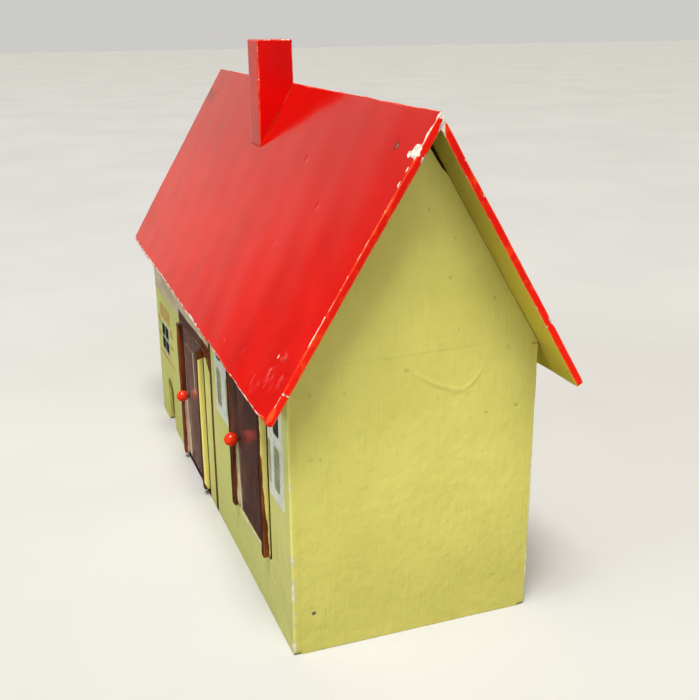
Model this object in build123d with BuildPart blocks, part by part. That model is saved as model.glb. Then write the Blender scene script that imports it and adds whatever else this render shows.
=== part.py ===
"""A painted wooden cottage birdhouse: two rooms, two hinged doors, a steep roof and a chimney.

Millimetres. The origin is on the ground under the middle of the house. +X runs along the ridge,
+Z is up, and the front wall with the doors faces -Y.
"""
import os
from math import cos, radians, sin, tan

from build123d import *

# Driving dimensions of the house
house_length = 460
house_depth = 168
wall_board = 5
gable_board = 8
floor_board_thickness = 5
wall_height = 192.4
corner_wear = 0.6

# Roof
ridge_height = 341
roof_slope = 58.8
roof_board = 5
roof_length = 511
eave_reach = 103
near_edge_slant = 7
eave_slant = 4
eave_rounding = 1.6
apex_gap = 2.8

# Chimney
chimney_near_face = -9
chimney_length = 29
chimney_front = -29
chimney_back = -1
chimney_top = 373.4

# Corner posts and partition
post_side = 18
post_height = 190
partition_centre = 18
partition_board = 8

# Arched low opening at the far end of the front wall
arch_left = -194
arch_width = 29.5
arch_height = 49.5
arch_foot_rounding = 2.5

# Doors: left edge and bottom of each leaf, and its height
leaf_width = 89
leaf_thickness = 4.6
doors = {
    "near": {"left": 91.5, "bottom": 44, "height": 120, "knob_inset": 14.5, "knob_height": 58},
    "far": {"left": -100.5, "bottom": 5, "height": 126, "knob_inset": 18.5, "knob_height": 62},
}
free_gap = 1
hinge_gap = 3.5
head_gap = 1
hinge_inset = 5
stile_width = 8
stile_proud = 4.5
stile_rounding = 1.5
stile_foot_rounding = 2.5

# Pivot pins, in the wall above and below each leaf
pin_radius = 0.8
pin_running_clearance = 0.06
pin_in_leaf = 8
pin_in_wall = 7
threshold_height = 3.6
threshold_bore = 3

# Stop strips behind the free edge of each leaf
stop_width = 11
stop_thickness = 5
stop_overlap = 4

# Knobs
bead_radius = 5.1
bead_stand_off = 6.1
peg_radius = 1.5
peg_past_bead_centre = 2

# Nails
nail_radius = 0.7
nail_head_radius = 1.4
nail_head_thickness = 0.8
nail_sink = 0.2
nail_length = 20
nail_line = 224.5
gable_nail_heights = {-1: (28.5, 136), 1: (28.5, 152)}
front_roof_nail_distances = (24.5, 163)
rear_roof_nail_distances = (34, 158)

# Worked out from the driving dimensions
front_face = -house_depth / 2
wall_back = front_face + wall_board
inner_depth = house_depth - 2 * wall_board
inner_length = house_length - 2 * gable_board
steepness = tan(radians(roof_slope))
underside_apex = ridge_height - roof_board / cos(radians(roof_slope))
gable_shoulder = underside_apex - steepness * inner_depth / 2
pin_line = front_face + leaf_thickness / 2
post_centre_x = inner_length / 2 - post_side / 2
post_centre_y = inner_depth / 2 - post_side / 2

front_slope = Plane(
    origin=(0, 0, ridge_height),
    x_dir=(1, 0, 0),
    z_dir=(0, -sin(radians(roof_slope)), cos(radians(roof_slope))),
)
rear_slope = Plane(
    origin=(0, 0, ridge_height),
    x_dir=(-1, 0, 0),
    z_dir=(0, sin(radians(roof_slope)), cos(radians(roof_slope))),
)


def save(part, label):
    """Label a finished piece and write it as one STEP file."""
    part.label = label
    export_step(part, f"parts/{label}.step")


def door_opening(door):
    """Left, right, bottom and top of the doorway that a leaf closes."""
    left = door["left"] - free_gap
    right = door["left"] + leaf_width + hinge_gap
    bottom = door["bottom"] - head_gap
    top = door["bottom"] + door["height"] + head_gap
    return left, right, bottom, top


def pin_x(door):
    """Distance along the ridge of a door's pivot line."""
    return door["left"] + leaf_width - hinge_inset


def slope_seat(slope, along, down):
    """A plane on the roof's outer face, at a distance along the ridge and down the slope."""
    point = slope.from_local_coords((along, -down, 0))
    return Plane(origin=point, x_dir=slope.x_dir, z_dir=slope.z_dir)


def nail_group(seats):
    """Round-headed nails, each driven in through one seat plane and sunk a little."""
    with BuildPart() as group:
        for seat in seats:
            with BuildSketch(seat.offset(-nail_sink)):
                Circle(nail_head_radius)
            extrude(amount=-nail_head_thickness)
            with BuildSketch(seat.offset(-nail_sink - nail_head_thickness)):
                Circle(nail_radius)
            extrude(amount=-nail_length)
    return group.part


gable_nail_seats = [
    Plane(origin=(side * house_length / 2, across * post_centre_y, height), z_dir=(side, 0, 0))
    for side in (-1, 1)
    for across in (-1, 1)
    for height in gable_nail_heights[across]
]
front_roof_nail_seats = [
    slope_seat(front_slope, end * nail_line, down)
    for end in (-1, 1)
    for down in front_roof_nail_distances
]
rear_roof_nail_seats = [
    slope_seat(rear_slope, end * nail_line, down)
    for end in (-1, 1)
    for down in rear_roof_nail_distances
]


def drill_nail_holes(seats):
    """Sink each nail's head and shank into the part being built."""
    with Locations(*seats):
        CounterBoreHole(
            radius=nail_radius,
            counter_bore_radius=nail_head_radius,
            counter_bore_depth=nail_sink + nail_head_thickness,
            depth=nail_sink + nail_head_thickness + nail_length,
        )


def make_front_wall():
    """Front board with two doorways and the arched opening."""
    arch_radius = arch_width / 2
    arch_centre = arch_left + arch_radius
    with BuildPart() as front_wall:
        with BuildSketch(Plane.XZ.offset(-wall_back)):
            with Locations((0, wall_height / 2)):
                Rectangle(house_length, wall_height)
            for door in doors.values():
                left, right, bottom, top = door_opening(door)
                sill = 0 if bottom < threshold_height + head_gap else bottom
                with Locations(((left + right) / 2, (sill + top) / 2)):
                    Rectangle(right - left, top - sill, mode=Mode.SUBTRACT)
            with Locations((arch_centre, (arch_height - arch_radius) / 2)):
                Rectangle(arch_width, arch_height - arch_radius, mode=Mode.SUBTRACT)
            with Locations((arch_centre, arch_height - arch_radius)):
                Circle(arch_radius, mode=Mode.SUBTRACT)
        extrude(amount=wall_board)
        feet = front_wall.edges().filter_by(Axis.Y).group_by(Axis.Z)[0]
        fillet(feet.sort_by(Axis.X)[1:3], arch_foot_rounding)
        ends = front_wall.edges().filter_by(Axis.Z).group_by(Axis.X)
        fillet((ends[0] + ends[-1]).group_by(Axis.Y)[0], corner_wear)
        for door in doors.values():
            top = door_opening(door)[3]
            with Locations(Plane(origin=(pin_x(door), pin_line, top), z_dir=(0, 0, -1))):
                Hole(pin_radius, depth=pin_in_wall)
        near_sill = door_opening(doors["near"])[2]
        with Locations(Plane(origin=(pin_x(doors["near"]), pin_line, near_sill), z_dir=(0, 0, 1))):
            Hole(pin_radius, depth=pin_in_wall)
    return front_wall.part


def make_rear_wall():
    """Plain rear board."""
    with BuildPart() as rear_wall:
        with BuildSketch(Plane.XZ.offset(-house_depth / 2)):
            with Locations((0, wall_height / 2)):
                Rectangle(house_length, wall_height)
        extrude(amount=wall_board)
        outer = rear_wall.edges().filter_by(Axis.Z).group_by(Axis.Y)[-1]
        fillet(outer, 2 * corner_wear)
    return rear_wall.part


def gable_corners(bottom):
    """Corners of the pointed outline shared by the gables and the partition."""
    half = inner_depth / 2
    return [
        (-half, bottom),
        (half, bottom),
        (half, gable_shoulder),
        (0, underside_apex - apex_gap),
        (-half, gable_shoulder),
    ]


def make_gable(side):
    """Gable board at one end of the house; side is +1 near, -1 far."""
    inner_x = side * inner_length / 2
    with BuildPart() as gable:
        with BuildSketch(Plane.YZ.offset(inner_x)):
            with BuildLine():
                Polyline(*gable_corners(0), close=True)
            make_face()
        extrude(amount=side * gable_board)
        all_seats = gable_nail_seats + front_roof_nail_seats + rear_roof_nail_seats
        drill_nail_holes([seat for seat in all_seats if seat.origin.X * side > 0])
    return gable.part


def make_partition():
    """Board between the two rooms, standing on the floor and carrying the roof."""
    with BuildPart() as partition:
        with BuildSketch(Plane.YZ.offset(partition_centre - partition_board / 2)):
            with BuildLine():
                Polyline(*gable_corners(floor_board_thickness), close=True)
            make_face()
        extrude(amount=partition_board)
    return partition.part


def make_floor():
    """Floor board inside the four walls."""
    with BuildPart() as floor_board:
        with BuildSketch(Plane.XY):
            Rectangle(inner_length, inner_depth)
        extrude(amount=floor_board_thickness)
    return floor_board.part


def make_threshold():
    """Low strip that closes the foot of the far doorway and carries the leaf's lower pin."""
    left, right, _, _ = door_opening(doors["far"])
    with BuildPart() as threshold:
        with BuildSketch(Plane.XY):
            with Locations(((left + right) / 2, front_face + wall_board / 2)):
                Rectangle(right - left, wall_board)
        extrude(amount=threshold_height)
        with Locations((pin_x(doors["far"]), pin_line, threshold_height)):
            Hole(pin_radius, depth=threshold_bore)
    return threshold.part


def make_post(end, side):
    """Corner post that a gable and a wall are nailed to."""
    with BuildPart() as post:
        with BuildSketch(Plane.XY.offset(floor_board_thickness)):
            with Locations((end * post_centre_x, side * post_centre_y)):
                Rectangle(post_side, post_side)
        extrude(amount=post_height - floor_board_thickness)
        drill_nail_holes([
            seat for seat in gable_nail_seats
            if seat.origin.X * end > 0 and seat.origin.Y * side > 0
        ])
    return post.part


def make_front_roof():
    """Front roof board, trimmed a little out of square at the near end and along the eave."""
    half = roof_length / 2
    near_drop = eave_reach / cos(radians(roof_slope))
    far_drop = (eave_reach - eave_slant) / cos(radians(roof_slope))
    with BuildPart() as roof:
        with BuildSketch(front_slope):
            with BuildLine():
                Polyline(
                    (-half, 0),
                    (half, 0),
                    (half - near_edge_slant, -near_drop),
                    (-half + eave_slant, -far_drop),
                    close=True,
                )
            make_face()
        extrude(amount=-roof_board)
        split(bisect_by=Plane.XZ, keep=Keep.TOP)
        eave = roof.faces().sort_by(Axis.Y)[0]
        fillet(eave.edges().sort_by(SortBy.LENGTH)[-2:], eave_rounding)
        drill_nail_holes(front_roof_nail_seats)
    return roof.part


def make_rear_roof():
    """Rear roof board, square."""
    drop = eave_reach / cos(radians(roof_slope))
    with BuildPart() as roof:
        with BuildSketch(rear_slope):
            with Locations((0, -drop / 2)):
                Rectangle(roof_length, drop)
        extrude(amount=-roof_board)
        split(bisect_by=Plane.XZ, keep=Keep.BOTTOM)
        eave = roof.faces().sort_by(Axis.Y)[-1]
        fillet(eave.edges().sort_by(SortBy.LENGTH)[-2:], eave_rounding)
        drill_nail_holes(rear_roof_nail_seats)
    return roof.part


def make_chimney():
    """Solid block with its foot cut to the roof slope."""
    with BuildPart() as chimney:
        with BuildSketch(Plane.YZ.offset(chimney_near_face)):
            with BuildLine():
                Polyline(
                    (chimney_front, ridge_height + steepness * chimney_front),
                    (chimney_back, ridge_height + steepness * chimney_back),
                    (chimney_back, chimney_top),
                    (chimney_front, chimney_top),
                    close=True,
                )
            make_face()
        extrude(amount=-chimney_length)
        fillet(chimney.edges().filter_by(Axis.Z), corner_wear)
        fillet(chimney.faces().sort_by(Axis.Z)[-1].edges(), corner_wear)
    return chimney.part


def make_leaf(door):
    """Flat door panel, level with the face of the wall, bored for its pins and its peg."""
    centre = door["left"] + leaf_width / 2
    bottom = door["bottom"]
    top = bottom + door["height"]
    with BuildPart() as leaf:
        with BuildSketch(Plane.XZ.offset(-front_face - leaf_thickness)):
            with Locations((centre, (bottom + top) / 2)):
                Rectangle(leaf_width, door["height"])
        extrude(amount=leaf_thickness)
        with Locations(Plane(origin=(pin_x(door), pin_line, top), z_dir=(0, 0, 1))):
            Hole(pin_radius + pin_running_clearance, depth=pin_in_leaf + head_gap)
        with Locations(Plane(origin=(pin_x(door), pin_line, bottom), z_dir=(0, 0, -1))):
            Hole(pin_radius + pin_running_clearance, depth=pin_in_leaf + head_gap)
        with Locations(knob_seat(door)):
            Hole(peg_radius, depth=leaf_thickness)
    return leaf.part


def make_stile(door, left):
    """Upright strip on the face of a leaf, its front edges and its foot rounded."""
    bottom = door["bottom"]
    with BuildPart() as stile:
        with BuildSketch(Plane.XZ.offset(-front_face)) as outline:
            with Locations((left + stile_width / 2, bottom + door["height"] / 2)):
                Rectangle(stile_width, door["height"])
            fillet(outline.vertices().group_by(Axis.Y)[0], stile_foot_rounding)
        extrude(amount=stile_proud)
        fillet(stile.faces().sort_by(Axis.Y)[0].edges(), stile_rounding)
    return stile.part


def knob_seat(door):
    """Plane on the face of a leaf at the foot of its knob, facing outwards."""
    x = door["left"] + door["knob_inset"]
    z = door["bottom"] + door["knob_height"]
    return Plane(origin=(x, front_face, z), z_dir=(0, -1, 0))


def make_bead(door):
    """Round knob with a flat at the back and a blind bore for its peg."""
    seat = knob_seat(door)
    with BuildPart() as bead:
        with Locations(seat.offset(bead_stand_off)):
            Sphere(bead_radius)
        split(bisect_by=seat.offset(bead_stand_off - 0.9 * bead_radius), keep=Keep.TOP)
        with BuildSketch(seat):
            Circle(peg_radius)
        extrude(amount=bead_stand_off + peg_past_bead_centre, mode=Mode.SUBTRACT)
    return bead.part


def make_peg(door):
    """Dowel that goes through the leaf and into the bead."""
    with BuildPart() as peg:
        with BuildSketch(knob_seat(door).offset(-leaf_thickness)):
            Circle(peg_radius)
        extrude(amount=leaf_thickness + bead_stand_off + peg_past_bead_centre)
    return peg.part


def make_pins(door):
    """Headless pins above and below a leaf, the far lower one shorter to suit the threshold."""
    bottom = door["bottom"]
    top = bottom + door["height"]
    lower_end = max(bottom - head_gap - pin_in_wall, threshold_height - threshold_bore)
    with BuildPart() as pins:
        with BuildSketch(Plane.XY.offset(lower_end)):
            with Locations((pin_x(door), pin_line)):
                Circle(pin_radius)
        extrude(amount=bottom + pin_in_leaf - lower_end)
        with BuildSketch(Plane.XY.offset(top - pin_in_leaf)):
            with Locations((pin_x(door), pin_line)):
                Circle(pin_radius)
        extrude(amount=pin_in_leaf + head_gap + pin_in_wall)
    return pins.part


def make_stop(door):
    """Strip glued behind the wall that the free edge of a leaf closes against."""
    right = door["left"] + stop_overlap
    bottom = max(door["bottom"], floor_board_thickness)
    height = door["bottom"] + door["height"] - bottom
    with BuildPart() as stop:
        with BuildSketch(Plane.XZ.offset(-wall_back - stop_thickness)):
            with Locations((right - stop_width / 2, bottom + height / 2)):
                Rectangle(stop_width, height)
        extrude(amount=stop_thickness)
    return stop.part


os.makedirs("parts", exist_ok=True)

save(make_front_wall(), "front_wall")
save(make_rear_wall(), "rear_wall")
save(make_gable(1), "near_gable")
save(make_gable(-1), "far_gable")
save(make_partition(), "partition")
save(make_floor(), "floor_board")
save(make_threshold(), "far_threshold")
for end, end_name in ((1, "near"), (-1, "far")):
    for side, side_name in ((-1, "front"), (1, "rear")):
        save(make_post(end, side), f"{side_name}_{end_name}_post")
save(make_front_roof(), "front_roof")
save(make_rear_roof(), "rear_roof")
save(make_chimney(), "chimney")

for name, door in doors.items():
    save(make_leaf(door), f"{name}_door_panel")
    save(make_stile(door, door["left"]), f"{name}_door_knob_stile")
    save(make_stile(door, door["left"] + leaf_width - stile_width), f"{name}_door_hinge_stile")
    save(make_bead(door), f"{name}_door_knob")
    save(make_peg(door), f"{name}_door_knob_peg")
    save(make_pins(door), f"{name}_door_pins")
    save(make_stop(door), f"{name}_door_stop")

save(nail_group(gable_nail_seats), "gable_nails")
save(nail_group(front_roof_nail_seats + rear_roof_nail_seats), "roof_nails")
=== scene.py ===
"""Looks of the painted cottage birdhouse: worn enamel boards, painted windows, doors, beads and nails.

Shapes are worked out in millimetres and written in metres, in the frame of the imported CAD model.
"""
import functools
import math

import bpy
import numpy as np
from mathutils import Matrix, Vector
from mathutils.geometry import delaunay_2d_cdt


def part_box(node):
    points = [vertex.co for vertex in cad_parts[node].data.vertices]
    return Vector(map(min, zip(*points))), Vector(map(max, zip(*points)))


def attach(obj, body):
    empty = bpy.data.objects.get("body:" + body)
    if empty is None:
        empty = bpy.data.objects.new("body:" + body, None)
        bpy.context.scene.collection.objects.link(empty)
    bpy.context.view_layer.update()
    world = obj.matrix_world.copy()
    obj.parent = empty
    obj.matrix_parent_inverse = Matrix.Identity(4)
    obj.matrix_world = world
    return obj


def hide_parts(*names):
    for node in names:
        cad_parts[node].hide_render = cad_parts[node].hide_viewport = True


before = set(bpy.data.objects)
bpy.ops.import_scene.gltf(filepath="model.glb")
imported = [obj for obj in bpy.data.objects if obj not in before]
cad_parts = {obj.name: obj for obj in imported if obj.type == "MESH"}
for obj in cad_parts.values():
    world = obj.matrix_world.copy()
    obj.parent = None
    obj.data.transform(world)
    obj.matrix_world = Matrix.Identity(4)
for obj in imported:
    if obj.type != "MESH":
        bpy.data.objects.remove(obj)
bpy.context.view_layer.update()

MM = 0.001
X, Y, Z = np.eye(3)

# Shape numbers that the boxes of the CAD nodes don't give
ROOF_SLOPE = math.radians(58.8)
STEEP = math.tan(ROOF_SLOPE)
ROOF_BOARD = 5.0
RIDGE = 341.0
EAVE = 103.0  # from the middle out to the eave
NEAR_SLANT, FAR_SLANT = 7.0, 4.0  # how far the front eave falls short at its ends
HALF_LENGTH = 230.0
FRONT = -84.0
STILE_DEPTH = 4.5
NAIL_LINE = 224.5  # from the middle out to the roof nails
NAIL_HOLE = 1.44
GABLE_NAILS = ((-70.0, 28.5), (-70.0, 136.0), (70.0, 28.5), (70.0, 152.0))
FRONT_ROOF_NAILS = (24.5, 163.0)
REAR_ROOF_NAILS = (34.0, 158.0)
LINE_END = 4  # a painted or worn line dies out over this length at its ends


# ---------------------------------------------------------------- shapes

def low_high(node):
    """Lowest and highest corner of a CAD node, in millimetres."""
    low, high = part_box(node)
    return np.array(low) / MM, np.array(high) / MM


class Face:
    """A plane in space: u and v lie in it and w is its outward normal, all in millimetres."""

    def __init__(self, origin, u, v):
        self.origin = np.array(origin, float)
        self.axes = np.array([u, v, np.cross(u, v)], float)

    def at(self, u, v, w=0):
        """The same plane with its origin moved."""
        return Face(self.origin + np.array([u, v, w]) @ self.axes, self.axes[0], self.axes[1])

    def world(self, points):
        return self.origin + points @ self.axes


def slope_axes(side):
    """Directions along the ridge and up the slope of one side of the roof, -1 front and 1 rear."""
    return -side * X, np.array([0, -side * math.cos(ROOF_SLOPE), math.sin(ROOF_SLOPE)])


facade = Face((0, FRONT, 0), X, Z)
rear = Face((0, -FRONT, 0), -X, Z)
near_end = Face((HALF_LENGTH, 0, 0), Y, Z)
far_end = Face((-HALF_LENGTH, 0, 0), -Y, Z)
front_slope = Face((0, 0, RIDGE), *slope_axes(-1))
rear_slope = Face((0, 0, RIDGE), *slope_axes(1))


def ripple(points, wavelength, seed):
    """Smooth noise of about unit size at points, made of a few sine waves."""
    rng = np.random.default_rng(seed)
    total = 0
    for _ in range(7):
        direction = rng.normal(size=points.shape[1])
        direction *= 2 * math.pi / (np.linalg.norm(direction) * wavelength * rng.uniform(0.6, 1.7))
        total = total + np.sin(points @ direction + rng.uniform(0, 6.3))
    return total / 7 ** 0.5 * 1.4


def outline(corners, spacing):
    """Closed loop through corners (u, v, rounding), with points at most spacing apart."""
    anchors = []
    places = [np.array(c[:2], float) for c in corners]
    for i, corner in enumerate(corners):
        here, before, after = places[i], places[i - 1], places[(i + 1) % len(corners)]
        cut = corner[2] if len(corner) > 2 else 0
        if cut == 0:
            anchors.append(here)
            continue
        start = here + (before - here) / np.linalg.norm(before - here) * cut
        end = here + (after - here) / np.linalg.norm(after - here) * cut
        for t in np.linspace(0, 1, 3 + int(cut * 1.5)):
            anchors.append((1 - t) ** 2 * start + 2 * t * (1 - t) * here + t * t * end)
    loop = []
    for here, after in zip(anchors, anchors[1:] + anchors[:1]):
        steps = max(1, math.ceil(np.linalg.norm(after - here) / spacing))
        loop += [here + (after - here) * k / steps for k in range(steps)]
    return np.array(loop)


def circle(u, v, radius, count, clockwise=True):
    turn = np.arange(count) * 2 * math.pi / count * (-1 if clockwise else 1)
    return np.column_stack([u + radius * np.cos(turn), v + radius * np.sin(turn)])


def inward(loop):
    """For each point, the move that takes both its edges one millimetre into the solid."""
    ahead = np.roll(loop, -1, 0) - loop
    ahead /= np.linalg.norm(ahead, axis=1)[:, None]
    normal = np.column_stack([-ahead[:, 1], ahead[:, 0]])
    before = np.roll(normal, 1, 0)
    return (normal + before) / (1 + np.sum(normal * before, 1))[:, None]


def room(loop):
    """For each point, the furthest it can move in before the loop's neighbouring edges cross."""
    ahead = np.roll(loop, -1, 0) - loop
    length = np.linalg.norm(ahead, axis=1)
    heading = np.arctan2(ahead[:, 1], ahead[:, 0])
    turning = np.clip((heading - np.roll(heading, 1) + math.pi) % (2 * math.pi) - math.pi, 0, 2)
    shrink = np.tan(turning / 2)
    along = length / np.maximum(shrink + np.roll(shrink, -1), 1e-6)
    return np.minimum(along, np.roll(along, 1))


def inside(points, loops):
    """Even-odd test of points against all the loops together."""
    odd = np.zeros(len(points), bool)
    for loop in loops:
        a, b = loop, np.roll(loop, -1, 0)
        y = points[:, 1:2]
        spans = (a[:, 1] > y) != (b[:, 1] > y)
        rise = np.where(b[:, 1] == a[:, 1], 1e-12, b[:, 1] - a[:, 1])
        cross = a[:, 0] + (y - a[:, 1]) * (b[:, 0] - a[:, 0]) / rise
        odd ^= (spans & (points[:, 0:1] < cross)).sum(1) % 2 == 1
    return odd


def fill(loops, grid, seed):
    """Triangles over the area between the loops, with extra points on a jittered grid."""
    low, high = loops[0].min(0), loops[0].max(0)
    rng = np.random.default_rng(seed)
    u, v = np.meshgrid(np.arange(low[0], high[0], grid), np.arange(low[1], high[1], grid * 0.87))
    u[1::2] += grid / 2
    points = np.column_stack([u.ravel(), v.ravel()])
    points += rng.uniform(-0.18, 0.18, points.shape) * grid
    border = np.vstack(loops)
    points = points[inside(points, loops)]
    keep = np.ones(len(points), bool)
    for block in np.array_split(border, max(1, len(border) // 200)):
        gap = np.linalg.norm(points[:, None] - block[None], axis=2).min(1)
        keep &= gap > grid * 0.45
    points = points[keep]
    edges, start = [], 0
    for loop in loops:
        count = len(loop)
        edges += [(start + k, start + (k + 1) % count) for k in range(count)]
        start += count
    flat = np.vstack([border, points])
    found, _, triangles, origin, _, _ = delaunay_2d_cdt([Vector(p) for p in flat], edges, [], 0, 1e-7)
    source = [o[0] if o else int(np.argmin(np.linalg.norm(flat - np.array(at), axis=1)))
              for o, at in zip(origin, found)]
    triangles = np.array([[source[k] for k in t] for t in triangles])
    corners = flat[triangles]
    (ax, ay), (bx, by), (cx, cy) = (corners[:, k].T for k in range(3))
    area = (bx - ax) * (cy - ay) - (cx - ax) * (by - ay)
    triangles[area < 0] = triangles[area < 0][:, ::-1]
    good = inside(corners.mean(1), loops) & (np.abs(area) > 1e-6)
    return points, triangles[good]


def build(name, points, faces, slots, flats, paints, body):
    """A smooth-shaded mesh object from millimetre points, riding on a CAD body."""
    mesh = bpy.data.meshes.new(name)
    places = np.asarray(points) * MM
    places[:, 2] = np.maximum(places[:, 2], 0)
    mesh.from_pydata(places.tolist(), [], faces)
    mesh.polygons.foreach_set("material_index", np.asarray(slots, np.int32))
    mesh.polygons.foreach_set("use_smooth", np.ones(len(faces), bool))
    attribute = mesh.attributes.new("flat", "FLOAT_VECTOR", "POINT")
    attribute.data.foreach_set("vector", np.asarray(flats, np.float32).ravel())
    for paint in paints:
        mesh.materials.append(paint)
    mesh.update()
    piece = bpy.data.objects.new(name, mesh)
    bpy.context.scene.collection.objects.link(piece)
    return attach(piece, body)


def stand_in(piece, node):
    """Hides a CAD node behind the piece that shows its shape."""
    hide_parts(node)
    return piece


def patch(left, right, bottom, top, cut=1.2):
    """Corners of a rectangle with rounded corners."""
    cut = min(cut, 0.42 * (right - left), 0.42 * (top - bottom))
    return [(left, bottom, cut), (right, bottom, cut), (right, top, cut), (left, top, cut)]


def quarter_turn(count):
    return np.linspace(0, math.pi / 2, count)


def band(start, count):
    """Faces between a ring of count points and the ring after it."""
    a = start + np.arange(count)
    b = a + count
    return np.column_stack([a, b, np.roll(b, -1), np.roll(a, -1)]).tolist()


def per_point(size, loop):
    """A size for each point of a loop, from a number or a function of the points."""
    return size(loop) if callable(size) else np.full(len(loop), float(size))


def board(name, loops, thickness, face, paints, seed, body="house", edge=0.4, back_edge=0.25, hold=0.5,
          grid=6.0, wander=0.0, swell=0.0, bend=None, quarter=quarter_turn(6)):
    """A flat piece with rounded, slightly uneven edges.

    loops are closed outlines on the face, the outer one anticlockwise and holes clockwise. edge and
    back_edge are roundings, numbers or functions of the outline's points. paints are one for all, or
    front, side and back. The points keep their place on the face and their nearness to an edge in the
    attribute "flat". hold is how far the rounding is kept apart from the flat part. wander and swell are
    how uneven the piece is along and across its face.
    """
    points, flats, faces, slots, rims = [], [], [], [], []
    total = 0
    for loop in loops:
        move = inward(loop)
        rim = per_point(edge, loop)
        worn = 1 + 0.3 * ripple(loop, 22, seed) + 0.5 * np.clip(ripple(loop, 7, seed + 5) - 1.3, 0, 1)
        space = 0.85 * room(loop)
        space = np.minimum(space, np.minimum(np.roll(space, 1), np.roll(space, -1)))
        front_rim = np.minimum(rim * np.clip(worn, 0.45, 1.9), 0.7 * space)
        back_rim = np.minimum(np.minimum(per_point(back_edge, loop), thickness / 2), 0.7 * space)
        side_steps = max(2, round(thickness / 3))
        levels = [(np.minimum(front_rim + hold, space), 0 * rim, 0.75, 0)]
        levels += [(front_rim * (1 - math.sin(a)), -front_rim * (1 - math.cos(a)), 1, int(a > 0.9))
                   for a in quarter]
        for k in range(1, side_steps):
            share = k / side_steps
            depth = -front_rim * (1 - share) - (thickness - back_rim) * share
            levels.append((0 * rim, depth, 0.35 + 0.3 * abs(2 * share - 1), 1))
        levels += [(back_rim * (1 - math.cos(a)), -thickness + back_rim * (1 - math.sin(a)), 1,
                    1 + int(a > 0.7)) for a in quarter]
        levels.append((np.minimum(back_rim + hold, space), -thickness + 0 * rim, 0.75, 2))
        count = len(loop)
        front_sharp, back_sharp = np.clip(rim / 0.3, 0, 1), np.clip(back_rim / 0.3, 0, 1)
        for k, (inset, depth, nearness, _) in enumerate(levels):
            place = loop + move * inset[:, None]
            sharp = back_sharp if k > len(quarter) + side_steps // 2 else front_sharp
            points.append(np.column_stack([place, depth]))
            flats.append(np.column_stack([place, nearness * sharp]))
        for k in range(len(levels) - 1):
            faces += band(total + k * count, count)
            slots += [levels[k + 1][3] if levels[k][3] < 2 else 2] * count
        front_ring = total + np.arange(count)
        total += count * len(levels)
        rims.append((front_ring, total - count + np.arange(count), loop + move * levels[0][0][:, None]))
    extra, triangles = fill([rim[2] for rim in rims], grid, seed)
    for side, paint in ((0, 0), (1, 2)):
        lookup = np.concatenate([rim[side] for rim in rims] + [total + np.arange(len(extra))])
        picked = lookup[triangles]
        faces += (picked if side == 0 else picked[:, ::-1]).tolist()
        slots += [paint] * len(triangles)
        points.append(np.column_stack([extra, np.full(len(extra), -thickness * side)]))
        flats.append(np.column_stack([extra, np.zeros(len(extra))]))
        total += len(extra)
    points, flats = np.vstack(points), np.vstack(flats)
    place = points[:, :2].copy()
    points[:, 0] += wander * ripple(place, 60, seed + 11)
    points[:, 1] += wander * ripple(place, 60, seed + 12)
    points[:, 2] += swell * ripple(place, 70, seed + 13)
    if bend is not None:
        points = bend(points)
    paints = paints if isinstance(paints, list) else [paints] * 3
    return build(name, face.world(points), faces, slots, flats, paints, body)


def turned(name, seats, profile, paints, body, segments, uneven=0.0, bright=()):
    """Solids of revolution about each seat's normal. profile is (radius, height), from the top pole down.

    The seats whose numbers are in bright get the second paint."""
    points, flats, faces, slots = [], [], [], []
    turn = np.arange(segments) * 2 * math.pi / segments
    total = 0
    for number, seat in enumerate(seats):
        rings = [(r, h) for r, h in profile if r > 0]
        local = np.array([(r * math.cos(t), r * math.sin(t), h) for r, h in rings for t in turn])
        local = np.vstack([local, [0, 0, profile[0][1]], [0, 0, profile[-1][1]]])
        if uneven:
            local *= 1 + uneven * ripple(local, 7, 3 + number)[:, None]
        points.append(seat.world(local))
        flats.append(local)
        for k in range(len(rings) - 1):
            faces += band(total + k * segments, segments)
        top = total + len(rings) * segments
        first, last = total + np.arange(segments), top - segments + np.arange(segments)
        faces += np.column_stack([np.full(segments, top), first, np.roll(first, -1)]).tolist()
        faces += np.column_stack([np.full(segments, top + 1), np.roll(last, -1), last]).tolist()
        total = top + 2
        slots += [int(number in bright)] * (len(faces) - len(slots))
    return build(name, np.vstack(points), faces, slots, np.vstack(flats), paints, body)


# ---------------------------------------------------------------- materials

def rgb(tone):
    """A shader colour from 0-255 display values."""
    return tuple(((c / 255 + 0.055) / 1.055) ** 2.4 if c > 10 else c / 3295 for c in tone) + (1,)


def shade(tone, share):
    """A tone with each of its display values at a share of what it was."""
    return tuple(c * share for c in tone)


class Value:
    """An output in a node tree. Arithmetic on it adds the nodes that work the result out."""

    def __init__(self, paint, socket):
        self.paint, self.socket = paint, socket

    def math(self, operation, *others):
        return self.paint.add("ShaderNodeMath", (self,) + others, operation=operation)

    def __add__(self, other):
        return self.math("ADD", other)

    def __sub__(self, other):
        return self.math("SUBTRACT", other)

    def __rsub__(self, other):
        return self.paint.add("ShaderNodeMath", (other, self), operation="SUBTRACT")

    def __mul__(self, other):
        return self.math("MULTIPLY", other)

    __radd__, __rmul__ = __add__, __mul__

    def above(self, low, high):
        """0 below low, 1 above high and smooth between."""
        return self.paint.share(self, low, high, 0, 1)

    def below(self, low, high):
        return 1 - self.above(low, high)


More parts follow.
